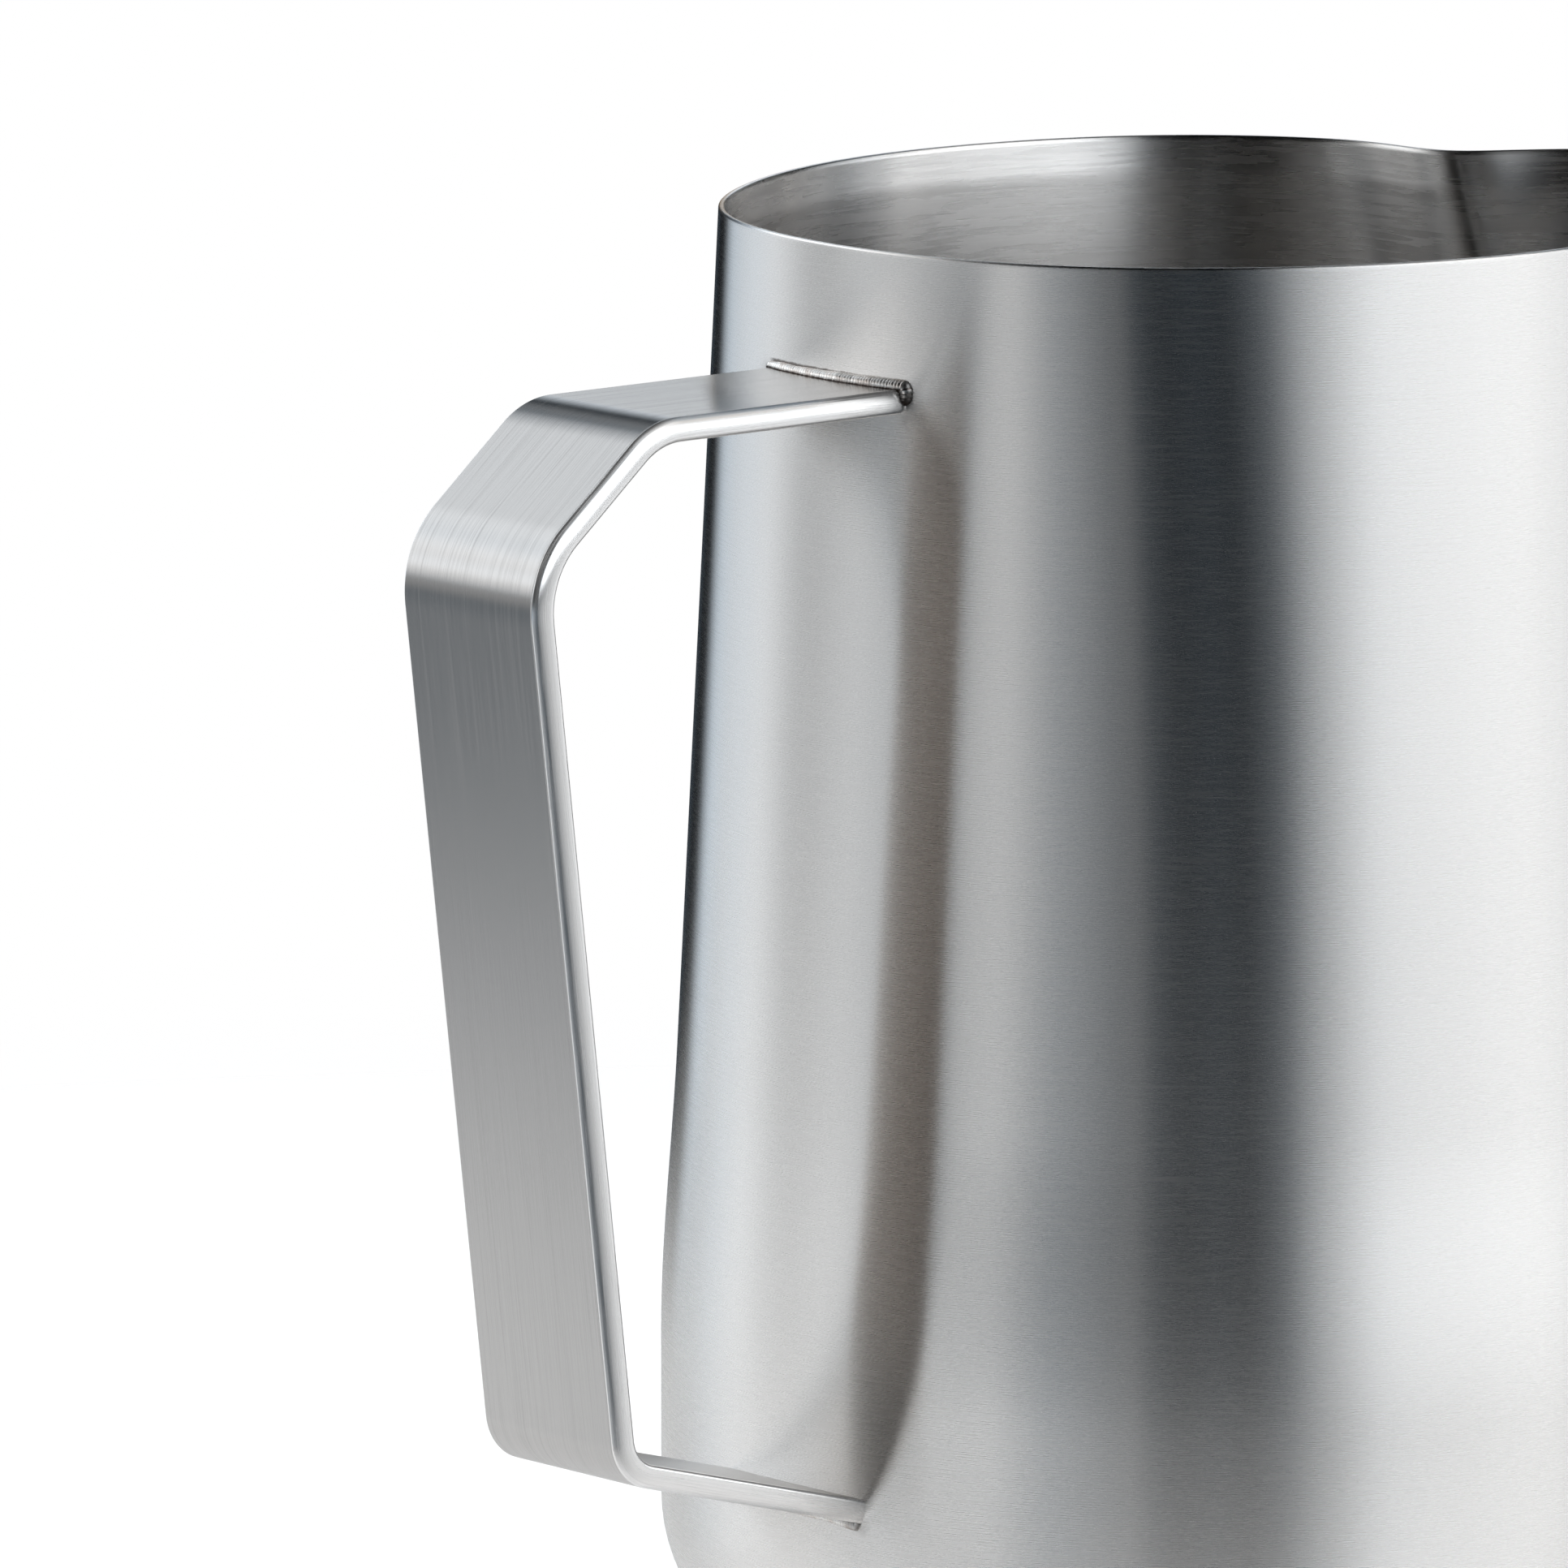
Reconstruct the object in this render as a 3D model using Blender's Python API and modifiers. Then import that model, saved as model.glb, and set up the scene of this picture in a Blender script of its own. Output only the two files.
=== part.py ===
"""Milk frothing pitcher: a drawn steel body with a pouring spout, and a bent strap handle welded to it.

Run it with: blender --background --python part.py. Units are metres, and +Z is up. The origin is the
centre of the base's underside, +X points out of the spout and -X along the handle, so the XZ plane
is the plane of symmetry.
"""

import math

import bmesh
import bpy

# ---- Driving dimensions ----

HEIGHT = 0.118
RIM_RADIUS = 0.0385
WALL = 0.0008

# Going down, the wall is a cone, which swells gently into an upright belly and turns under in a wide round.
CONE_FOOT = 0.050
CONE_SLOPE = 0.05
BELLY_TOP = 0.027
BELLY_RADIUS = 0.0432
BASE_ROUND = 0.014

# The spout is pulled out of the round rim. Its two straight lips meet at the tip.
SPOUT_DEPTH = 0.055
SPOUT_EASE = 1.7
LIP_REACH = 0.0502
LIP_HALF_ANGLE = math.radians(36)
TIP_SOFTNESS = math.radians(4.2)
FOOT_SOFTNESS = math.radians(14)
LIP_BLEND = 0.00065
CHANNEL_NARROWING = 0.4

# Pulling it draws the rim in at the throat, and leaves the rest of the rim slightly out of round.
THROAT = {"angle": math.radians(18), "spread": math.radians(9), "swell": -0.0022}
SHOULDER = {"angle": math.radians(51), "spread": math.radians(22), "swell": 0.0012}
FLANK = {"angle": math.radians(118), "spread": math.radians(28), "swell": -0.0007}
HEEL = {"angle": math.radians(150), "spread": math.radians(20), "swell": 0.0005}

STRAP_WIDTH = 0.0165
STRAP_THICKNESS = 0.0019
STRAP_EDGE_ROUND = 0.0005
# Corners of the strap's outer face in the XZ plane, from the upper arm to the lower one. The ends of
# both arms run on into the body and are cut to its wall.
ARM_TOP = 0.1075
ARM_START = (-0.036, ARM_TOP)
SHOULDER_BEND = (-0.0636, ARM_TOP)
KNUCKLE_BEND = (-0.0760, 0.0971)
HEEL_BEND = (-0.0673, 0.0248)
ARM_END = (-0.0400, 0.0176)
BEND_RADII = (0.0075, 0.0085, 0.0045)

TOUCH_GAP = 0.0003
BEAD_RADIUS = 0.0006
BEAD_WRAP = 0.0012
LOWER_BEAD_SHARE = 0.9

# ---- Fineness ----

TURN_STEPS = 90
# Above 1, the wall's rings lie closer together near the rim, where the spout bends it most.
RIM_CROWDING = 1.4
# Above 0, the wall's columns lie closer together round the spout.
SPOUT_CROWDING = 0.4
WALL_RINGS = 13
ROUND_STEPS = 7
BEND_STEPS = 6
EDGE_STEPS = 3
BEAD_STEPS = 14
BEAD_SIDE_STEPS = 2

# Points this close together are one point.
SAME_PLACE = 0.000001
# Edges that turn more than this look sharp, and the strap's edges that turn more are rounded off.
SHARP_TURN = math.radians(40)
CORNER_TURN = math.radians(60)

STEEL = {
    "drawn_steel": {"color": (0.62, 0.62, 0.61, 1), "roughness": 0.32},
    "strap_steel": {"color": (0.64, 0.64, 0.63, 1), "roughness": 0.28},
    "weld": {"color": (0.45, 0.42, 0.38, 1), "roughness": 0.4},
}


def clear_scene():
    for obj in list(bpy.data.objects):
        bpy.data.objects.remove(obj, do_unlink=True)


def new_collection(name):
    made = bpy.data.collections.new(name)
    bpy.context.scene.collection.children.link(made)
    return made


def steel(name):
    made = bpy.data.materials.new(name)
    made.use_nodes = True
    shader = made.node_tree.nodes["Principled BSDF"]
    shader.inputs["Base Color"].default_value = STEEL[name]["color"]
    shader.inputs["Roughness"].default_value = STEEL[name]["roughness"]
    shader.inputs["Metallic"].default_value = 1.0
    return made


def add_object(name, data, collection):
    made = bpy.data.objects.new(name, data)
    collection.objects.link(made)
    return made


def mesh_of(obj):
    """The mesh that an object shows once its modifiers have run."""
    bpy.context.view_layer.update()
    graph = bpy.context.evaluated_depsgraph_get()
    return bpy.data.meshes.new_from_object(obj.evaluated_get(graph))


def to_mesh_object(curve_object, collection):
    """A mesh object in the place of a curve object, with the curve's loose caps joined to its sides."""
    name = curve_object.name
    mesh = mesh_of(curve_object)
    place = curve_object.matrix_world.copy()
    bpy.data.objects.remove(curve_object, do_unlink=True)
    solid = bmesh.new()
    solid.from_mesh(mesh)
    bmesh.ops.remove_doubles(solid, verts=solid.verts, dist=SAME_PLACE)
    solid.to_mesh(mesh)
    solid.free()
    made = add_object(name, mesh, collection)
    made.matrix_world = place
    return made


def smooth(mesh):
    mesh.shade_smooth()
    mesh.set_sharp_from_angle(angle=SHARP_TURN)


# ---- The turned body ----


def wall_radius(height):
    """The outer radius of the round wall above the base's round."""
    if height >= CONE_FOOT:
        return RIM_RADIUS + CONE_SLOPE * (HEIGHT - height)
    if height <= BELLY_TOP:
        return BELLY_RADIUS
    run = CONE_FOOT - BELLY_TOP
    share = (CONE_FOOT - height) / run
    start = RIM_RADIUS + CONE_SLOPE * (HEIGHT - CONE_FOOT)
    rise = BELLY_RADIUS - start
    slope = CONE_SLOPE * run
    return start + slope * share + (3 * rise - 2 * slope) * share**2 + (slope - 2 * rise) * share**3


def outer_profile(grow=0.0):
    """(radius, height) down the outside, from the rim to the middle of the base, moved out by grow."""
    points = []
    for step in range(WALL_RINGS + 1):
        share = (step / WALL_RINGS) ** RIM_CROWDING
        height = HEIGHT - share * (HEIGHT - BASE_ROUND)
        points.append((wall_radius(height) + grow, height))
    for step in range(1, ROUND_STEPS + 1):
        turn = math.radians(90) * step / ROUND_STEPS
        flat = BELLY_RADIUS - BASE_ROUND
        reach = BASE_ROUND + grow
        points.append((flat + reach * math.cos(turn), BASE_ROUND - reach * math.sin(turn)))
    points.append((0.0, -grow))
    return points


def turned(name, profile, collection):
    """An object with the profile turned round the Z axis."""
    mesh = bpy.data.meshes.new(name)
    corners = [(radius, 0.0, height) for radius, height in profile]
    edges = [(index, index + 1) for index in range(len(profile) - 1)]
    mesh.from_pydata(corners, edges, [])
    made = add_object(name, mesh, collection)
    screw = made.modifiers.new("Turn", "SCREW")
    screw.steps = TURN_STEPS
    screw.render_steps = TURN_STEPS
    screw.use_merge_vertices = True
    screw.merge_threshold = SAME_PLACE
    screw.use_smooth_shade = True
    return made


def bump(angle, shape):
    """A rounded swelling of the rim about one angle from the spout."""
    return shape["swell"] * math.exp(-(((angle - shape["angle"]) / shape["spread"]) ** 2))


def lip_radius(angle, softness):
    """The plan radius of the straight lip at an angle from the spout's middle, with the tip rounded."""
    eased = math.hypot(angle, softness)
    return LIP_REACH * math.sin(LIP_HALF_ANGLE) / math.sin(LIP_HALF_ANGLE + eased)


def spout_swell(angle, softness):
    """How far the spout moves the rim outwards at an angle from the spout's middle."""
    pull = (lip_radius(min(angle, LIP_HALF_ANGLE), softness) - RIM_RADIUS) / LIP_BLEND
    return LIP_BLEND * math.log1p(math.exp(pull)) + bump(angle, THROAT)


def pull_share(height):
    """0 where the wall is still round, rising to 1 at the rim."""
    share = min(max((height - HEIGHT + SPOUT_DEPTH) / SPOUT_DEPTH, 0.0), 1.0)
    return share**SPOUT_EASE


def swell(angle, height):
    """How far the wall stands outside the turned shape at an angle from the spout, at a height."""
    share = pull_share(height)
    width = 1 - CHANNEL_NARROWING * (1 - share)
    softness = TIP_SOFTNESS + (FOOT_SOFTNESS - TIP_SOFTNESS) * (1 - share)
    around = bump(angle, SHOULDER) + bump(angle, FLANK) + bump(angle, HEEL)
    return share * (spout_swell(angle / width, softness) + around)


def pull_spout(mesh):
    """Moves the turned wall's points to the shape of the spout, and crowds them round it."""
    for vertex in mesh.vertices:
        radius = math.hypot(vertex.co.x, vertex.co.y)
        if radius < SAME_PLACE:
            continue
        even = math.atan2(vertex.co.y, vertex.co.x)
        angle = even - SPOUT_CROWDING * math.sin(even)
        radius += swell(abs(angle), vertex.co.z)
        vertex.co.x = radius * math.cos(angle)
        vertex.co.y = radius * math.sin(angle)


def make_body(parts):
    blank = turned("blank", outer_profile(), parts)
    mesh = mesh_of(blank)
    bpy.data.objects.remove(blank, do_unlink=True)
    pull_spout(mesh)
    smooth(mesh)
    body = add_object("pitcher_body", mesh, parts)
    sheet = body.modifiers.new("Sheet", "SOLIDIFY")
    sheet.thickness = WALL
    sheet.offset = -1
    sheet.use_even_offset = True
    body.data.materials.append(steel("drawn_steel"))


# ---- The strap handle ----


def rounded_path(corners, radii):
    """The corners joined by straight runs, with an arc of the given radius in each inner corner."""
    path = [corners[0]]
    for before, corner, after, radius in zip(corners, corners[1:], corners[2:], radii):
        back = math.atan2(before[1] - corner[1], before[0] - corner[0])
        ahead = math.atan2(after[1] - corner[1], after[0] - corner[0])
        half = ((ahead - back + math.pi) % (2 * math.pi) - math.pi) / 2
        centre_way = back + half
        centre_range = radius / abs(math.sin(half))
        centre = (
            corner[0] + centre_range * math.cos(centre_way),
            corner[1] + centre_range * math.sin(centre_way),
        )
        side = math.copysign(1, half)
        first = back - side * math.pi / 2
        sweep = side * (2 * abs(half) - math.pi)
        for step in range(BEND_STEPS + 1):
            turn = first + sweep * step / BEND_STEPS
            path.append((centre[0] + radius * math.cos(turn), centre[1] + radius * math.sin(turn)))
    path.append(corners[-1])
    return path


def ribbon(name, path, width, collection):
    """An open band, as wide as the strap, along a path in the XZ plane."""
    curve = bpy.data.curves.new(name, "CURVE")
    curve.dimensions = "2D"
    curve.fill_mode = "NONE"
    curve.extrude = width / 2
    spline = curve.splines.new("POLY")
    spline.points.add(len(path) - 1)
    for point, (x, z) in zip(spline.points, path):
        point.co = (x, z, 0, 1)
    made = add_object(name, curve, collection)
    made.rotation_euler = (math.radians(90), 0, 0)
    return to_mesh_object(made, collection)


def make_strap(parts, cutters):
    corners = [ARM_START, SHOULDER_BEND, KNUCKLE_BEND, HEEL_BEND, ARM_END]
    path = rounded_path(corners, BEND_RADII)
    strap = ribbon("handle_strap", path, STRAP_WIDTH, parts)
    plate = strap.modifiers.new("Plate", "SOLIDIFY")
    plate.thickness = STRAP_THICKNESS
    plate.offset = 1
    plate.use_even_offset = True
    edge = strap.modifiers.new("Edge", "BEVEL")
    edge.width = STRAP_EDGE_ROUND
    edge.segments = EDGE_STEPS
    edge.limit_method = "ANGLE"
    edge.angle_limit = CORNER_TURN
    strap.data.materials.append(steel("strap_steel"))

    # The cutter is the body's outside plus the gap, closed over the top above the handle.
    outline = outer_profile(TOUCH_GAP)
    cutter = turned("body_clearance", [(0.0, HEIGHT), *outline], cutters)
    cutter.hide_render = True
    cutter.display_type = "WIRE"
    cut = strap.modifiers.new("Fit to body", "BOOLEAN")
    cut.operation = "DIFFERENCE"
    cut.solver = "EXACT"
    cut.object = cutter


# ---- The weld beads ----


def bead(name, points, collection):
    """A round bead of weld metal through the points."""
    curve = bpy.data.curves.new(name, "CURVE")
    curve.dimensions = "3D"
    curve.bevel_depth = BEAD_RADIUS
    curve.bevel_resolution = BEAD_SIDE_STEPS
    curve.use_fill_caps = True
    spline = curve.splines.new("POLY")
    spline.points.add(len(points) - 1)
    for point, place in zip(spline.points, points):
        point.co = (*place, 1)
    made = to_mesh_object(add_object(name, curve, collection), collection)
    smooth(made.data)
    made.data.materials.append(steel("weld"))
    return made


def seam_points(height, half_width):
    """Points round the body at one height, across the width of an arm, a bead's radius off the wall."""
    radius = wall_radius(height) + TOUCH_GAP + BEAD_RADIUS
    half_angle = math.asin(half_width / radius)
    points = []
    for step in range(BEAD_STEPS + 1):
        angle = math.pi + half_angle * (2 * step / BEAD_STEPS - 1)
        points.append((radius * math.cos(angle), radius * math.sin(angle), height))
    return points


def make_upper_bead(parts):
    """The bead lies on top of the upper arm and turns down a little past both of its edges."""
    height = ARM_TOP + TOUCH_GAP + BEAD_RADIUS
    half_width = STRAP_WIDTH / 2 + TOUCH_GAP + BEAD_RADIUS
    points = seam_points(height, half_width)
    tails = [(x, y, z - BEAD_WRAP) for x, y, z in (points[0], points[-1])]
    bead("upper_weld_bead", [tails[0], *points, tails[1]], parts)


def make_lower_bead(parts):
    """The bead lies under the lower arm, along the wall."""
    run = ARM_END[0] - HEEL_BEND[0]
    fall = (ARM_END[1] - HEEL_BEND[1]) / run
    contact = ARM_END[1] - fall * (ARM_END[0] + BELLY_RADIUS)
    height = contact - 2 * TOUCH_GAP - BEAD_RADIUS
    points = seam_points(height, LOWER_BEAD_SHARE * STRAP_WIDTH / 2)
    bead("lower_weld_bead", points, parts)


def main():
    clear_scene()
    parts = new_collection("milk_frothing_pitcher")
    cutters = new_collection("cutters")
    make_body(parts)
    make_strap(parts, cutters)
    make_upper_bead(parts)
    make_lower_bead(parts)


main()
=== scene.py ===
"""Looks for the milk frothing pitcher: a brushed steel body, a bent strap handle and the two welds between.

Units are metres. The frame is the CAD part's: +Z is up, +X points out of the spout and -X along the
handle, and the origin is the centre of the base's underside. The driving dimensions repeat the part's own.
"""

import math

import bpy
import numpy as np
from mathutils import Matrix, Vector


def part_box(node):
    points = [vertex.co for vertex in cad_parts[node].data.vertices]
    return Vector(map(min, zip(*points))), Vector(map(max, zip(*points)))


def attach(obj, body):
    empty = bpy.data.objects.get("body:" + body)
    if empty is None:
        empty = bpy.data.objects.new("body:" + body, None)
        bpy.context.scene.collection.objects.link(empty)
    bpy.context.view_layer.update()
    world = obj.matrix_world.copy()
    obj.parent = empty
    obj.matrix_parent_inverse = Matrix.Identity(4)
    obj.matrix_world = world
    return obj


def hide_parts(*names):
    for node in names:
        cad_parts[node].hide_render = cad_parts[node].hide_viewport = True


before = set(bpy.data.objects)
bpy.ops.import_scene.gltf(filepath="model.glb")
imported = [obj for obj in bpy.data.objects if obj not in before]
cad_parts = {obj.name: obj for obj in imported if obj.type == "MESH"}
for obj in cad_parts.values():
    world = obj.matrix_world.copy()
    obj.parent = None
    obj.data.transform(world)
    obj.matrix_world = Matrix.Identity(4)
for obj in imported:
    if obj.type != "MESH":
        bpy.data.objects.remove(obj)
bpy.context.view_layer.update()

# ---- The body ----

HEIGHT = 0.118
RIM_RADIUS = 0.0385
WALL = 0.0008
# The sheet is thinner at the rim, where it was trimmed and polished.
RIM_WALL = 0.0005
RIM_TAPER = 0.003
RIM_ROUND = 0.0002
CONE_FOOT = 0.050
CONE_SLOPE = 0.05
BELLY_TOP = 0.027
BELLY_RADIUS = 0.0432
BASE_ROUND = 0.014

SPOUT_DEPTH = 0.055
SPOUT_EASE = 1.7
LIP_REACH = 0.0502
LIP_HALF_ANGLE = math.radians(36)
TIP_SOFTNESS = math.radians(4.2)
FOOT_SOFTNESS = math.radians(14)
LIP_BLEND = 0.00065
CHANNEL_NARROWING = 0.4

# (angle from the spout, spread, swell) of each place where pulling the spout left the rim out of round.
THROAT = (math.radians(18), math.radians(9), -0.0022)
OUT_OF_ROUND = (
    (math.radians(51), math.radians(22), 0.0012),
    (math.radians(118), math.radians(28), -0.0007),
    (math.radians(150), math.radians(20), 0.0005),
)

# ---- The handle ----

STRAP_THICKNESS = 0.0019
# The strap's edge, from its outer face round to its inner one, as (turn in degrees, length) of each arc.
EDGE_ARCS = (
    (38, 0.00008),
    (12, 0.00034),
    (14, 0.00010),
    (18, 0.00065),
    (8, 0.00065),
    (90, 0.00047),
)
UPPER_TIP_ROUND = 0.00093
LOWER_TIP_ROUND = 0.00025
strap_low, strap_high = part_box("handle_strap")
STRAP_WIDTH = strap_high.y - strap_low.y
ARM_TOP = strap_high.z
SHOULDER_BEND = (-0.0636, ARM_TOP)
KNUCKLE_BEND = (-0.0760, 0.0971)
HEEL_BEND = (-0.0673, 0.0248)
ARM_END = (-0.0400, 0.0176)
BEND_RADII = (0.0075, 0.0085, 0.0045)
WELD_DEPTH = 0.0003

# ---- The welds ----

UPPER_BEAD_RADIUS = 0.00055
UPPER_BEAD_LEAN = 0.28
UPPER_BEAD_BULGE = -0.2
UPPER_BEAD_SEED = 3
# How far the upper bead's middle line stands above the arm, off the wall and inside the arm's edges.
UPPER_BEAD_OFFSET = 0.0001
LOWER_BEAD_RADIUS = 0.00026
LOWER_BEAD_LEAN = 0.0
LOWER_BEAD_BULGE = 0.9
LOWER_BEAD_SEED = 11
LOWER_BEAD_DROP = 0.00015
LOWER_BEAD_INSET = 0.0006
BEAD_RIPPLE = 0.0003
# The shares of a bead's radius that its core, its ripples and its unevenness make up.
BEAD_CORE = 0.93
RIPPLE_RISE = 0.10
BEAD_UNEVEN = 0.08
BEAD_WRAP = 0.0014
BULGE_REACH = 0.0022
# How far the dark ends of a bead reach. The darkness is partly burnt weld metal and partly painted shade in
# the corners where the bead ends.
BURNT_AND_SHADED_END = 0.0014
# (place, reach, strength) of the wall's darkening beside an arm, partly heat tint and partly painted shade in
# the corner where the arm meets the wall. The places count y as positive.
BURN_AND_SHADE_SPOTS = (
    ((-0.0384, 0.0085, 0.1062), 0.0022, 0.35),
    ((-0.0421, 0.0080, 0.0180), 0.0012, 0.25),
)
# The thickness of the painted shadow line on the wall above the upper bead, where the bead undercuts the
# wall.
SEAM_SHADOW_WIDTH = 0.00018
# The painted shade on the grip's inner face, which faces the body, darker and warmer than the steel, and how
# softly it ends at the arms.
GRIP_SHADE_COLOUR = (0.36, 0.315, 0.285, 1)
GRIP_SHADE_FADE = 0.008

# ---- Fineness ----

TURN_STEPS = 360
SPOUT_CROWDING = 0.4
WALL_RINGS = 110
ROUND_RINGS = 18
FLAT_RINGS = 10
RIM_STEPS = 10
BEND_STEPS = 24
ARC_STEPS = 5
TIP_STEPS = 8
FACE_COLUMNS = 5
SUPPORT_GAP = 0.00015
RIPPLE_STEPS = 8
BEAD_SIDES = 20
BEAD_SMOOTHING = 20
ARM_MARGIN = 0.0015
RING_CROWDING = 1.3
SEAM_STEPS = 60


# ---- Meshes ----


def unit(vectors):
    """The vectors at length one."""
    return vectors / np.maximum(np.linalg.norm(vectors, axis=-1, keepdims=True), 1e-12)


def grid_object(name, points, grain, scratch, around=False, ends=(None, None)):
    """A piece from rows of points, each row joined to the next, with optional single points closing its ends.

    grain is the position used by its brushing, in metres: its third part runs across the scratches.
    scratch is the direction of the scratches in space. around joins the last point of a row to the first.
    """
    rows, columns = points.shape[:2]
    corners = points.reshape(-1, 3)
    grains = grain.reshape(-1, 3)
    ways = scratch.reshape(-1, 3)
    faces = []
    last = columns if around else columns - 1
    for row in range(rows - 1):
        for column in range(last):
            near = row * columns + column
            far = row * columns + (column + 1) % columns
            faces.append((near, far, far + columns, near + columns))
    for end, row in zip(ends, (0, rows - 1)):
        if end is None:
            continue
        tip = len(corners)
        corners = np.vstack([corners, end])
        ring = [row * columns + column for column in range(columns)]
        grains = np.vstack([grains, grains[ring].mean(axis=0)])
        ways = np.vstack([ways, ways[ring[0]]])
        for column in range(columns):
            near, far = ring[column], ring[(column + 1) % columns]
            faces.append((far, near, tip) if row == 0 else (near, far, tip))
    mesh = bpy.data.meshes.new(name)
    mesh.from_pydata(corners.tolist(), [], faces)
    for label, values in (("grain", grains), ("scratch", ways)):
        layer = mesh.attributes.new(label, "FLOAT_VECTOR", "POINT")
        layer.data.foreach_set("vector", values.astype(np.float32).ravel())
    mesh.shade_smooth()
    mesh.validate()
    made = bpy.data.objects.new(name, mesh)
    bpy.context.scene.collection.objects.link(made)
    return made


# ---- The body's shape ----


def wall_radius(height):
    """The outer radius of the round wall above the base's round."""
    height = np.asarray(height, float)
    cone = RIM_RADIUS + CONE_SLOPE * (HEIGHT - height)
    run = CONE_FOOT - BELLY_TOP
    share = np.clip((CONE_FOOT - height) / run, 0, 1)
    start = RIM_RADIUS + CONE_SLOPE * (HEIGHT - CONE_FOOT)
    rise = BELLY_RADIUS - start
    slope = CONE_SLOPE * run
    swelling = start + slope * share + (3 * rise - 2 * slope) * share**2 + (slope - 2 * rise) * share**3
    return np.where(height >= CONE_FOOT, cone, swelling)


def bump(angle, shape):
    """A rounded swelling of the rim on both sides of the spout."""
    centre, spread, amount = shape
    total = 0
    for place in (centre, -centre, 2 * math.pi - centre):
        total = total + np.exp(-(((angle - place) / spread) ** 2))
    return amount * total


def spout_swell(angle, softness):
    """How far the spout moves the rim outwards at an angle from the spout's middle."""
    eased = np.hypot(np.minimum(angle, LIP_HALF_ANGLE), softness)
    lip = LIP_REACH * math.sin(LIP_HALF_ANGLE) / np.sin(LIP_HALF_ANGLE + eased)
    return LIP_BLEND * np.log1p(np.exp((lip - RIM_RADIUS) / LIP_BLEND)) + bump(angle, THROAT)


def swell(angle, height):
    """How far the wall stands outside the turned shape at an angle from the spout, at a height."""
    share = np.clip((height - HEIGHT + SPOUT_DEPTH) / SPOUT_DEPTH, 0, 1) ** SPOUT_EASE
    width = 1 - CHANNEL_NARROWING * (1 - share)
    softness = TIP_SOFTNESS + (FOOT_SOFTNESS - TIP_SOFTNESS) * (1 - share)
    angle = np.abs(angle)
    around = sum(bump(angle, shape) for shape in OUT_OF_ROUND)
    return share * (spout_swell(angle / width, softness) + around)


def outer_profile():
    """(radius, height) up the outside, from near the middle of the base to the start of the rim's round."""
    flat = BELLY_RADIUS - BASE_ROUND
    points = [(flat * (step + 1) / (FLAT_RINGS + 1), 0.0) for step in range(FLAT_RINGS)]
    for step in range(ROUND_RINGS):
        turn = math.radians(90) * (1 - step / ROUND_RINGS)
        points.append((flat + BASE_ROUND * math.cos(turn), BASE_ROUND * (1 - math.sin(turn))))
    top = HEIGHT - RIM_ROUND
    for step in range(WALL_RINGS + 1):
        # The rings lie closer together near the rim, where the spout bends the wall most.
        share = (1 - step / WALL_RINGS) ** RING_CROWDING
        height = top - share * (top - BASE_ROUND)
        points.append((float(wall_radius(height)), height))
    return np.array(points)


def body_piece():
    """The drawn body: the outside, the rounded rim and the inside, as one closed sheet of even thickness."""
    even = np.linspace(-math.pi, math.pi, TURN_STEPS, endpoint=False)
    angles = even - SPOUT_CROWDING * np.sin(even)
    profile = outer_profile()
    height = profile[:, 1][:, None] + 0 * angles
    radius = profile[:, 0][:, None] + swell(angles[None, :], height)
    outer = np.stack([radius * np.cos(angles), radius * np.sin(angles), height], axis=-1)

    up = unit(np.gradient(outer, axis=0))
    wrapped = np.concatenate([outer[:, -1:], outer, outer[:, :1]], axis=1)
    across = unit(wrapped[:, 2:] - wrapped[:, :-2])
    normal = unit(np.cross(across, up))
    taper = np.clip((height[..., None] - HEIGHT + RIM_TAPER) / RIM_TAPER, 0, 1)
    inner = outer - (WALL + (RIM_WALL - WALL) * taper) * normal

    rim = []
    for step in range(1, 2 * RIM_STEPS):
        # A quarter round at each edge of the sheet, with a narrow flat between them.
        quarter, stage = divmod(step, RIM_STEPS)
        turn = math.radians(90) * (stage / RIM_STEPS)
        if quarter == 0:
            out, rise = RIM_ROUND * (1 - math.cos(turn)), RIM_ROUND * math.sin(turn)
        else:
            out, rise = RIM_WALL - RIM_ROUND * (1 - math.sin(turn)), RIM_ROUND * math.cos(turn)
        rim.append(outer[-1] - out * normal[-1] + rise * up[-1])
    points = np.concatenate([outer, np.array(rim), inner[::-1]])

    steps = np.linalg.norm(np.diff(profile, axis=0), axis=1)
    along = np.concatenate([[0], np.cumsum(steps)])
    rim_along = along[-1] + RIM_WALL * np.linspace(0, 1, 2 * RIM_STEPS + 1)[1:-1]
    inner_along = along[-1] + RIM_WALL + (along[-1] - along[::-1])
    across_grain = np.concatenate([along, rim_along, inner_along])
    ring = np.stack([RIM_RADIUS * np.cos(angles), RIM_RADIUS * np.sin(angles)], axis=-1)
    grain = np.zeros_like(points)
    grain[..., :2] = ring
    grain[..., 2] = across_grain[:, None]
    scratch = np.zeros_like(points)
    scratch[..., 0] = -np.sin(angles)
    scratch[..., 1] = np.cos(angles)
    ends = ((0, 0, 0), (0, 0, WALL))
    body = grid_object("drawn_body", points, grain, scratch, around=True, ends=ends)
    first_inside = len(outer) + RIM_STEPS
    inside = [face for face in body.data.polygons if min(face.vertices) >= first_inside * TURN_STEPS]
    for face in inside:
        face.material_index = 1
    return body


# ---- The strap's shape ----


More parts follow.
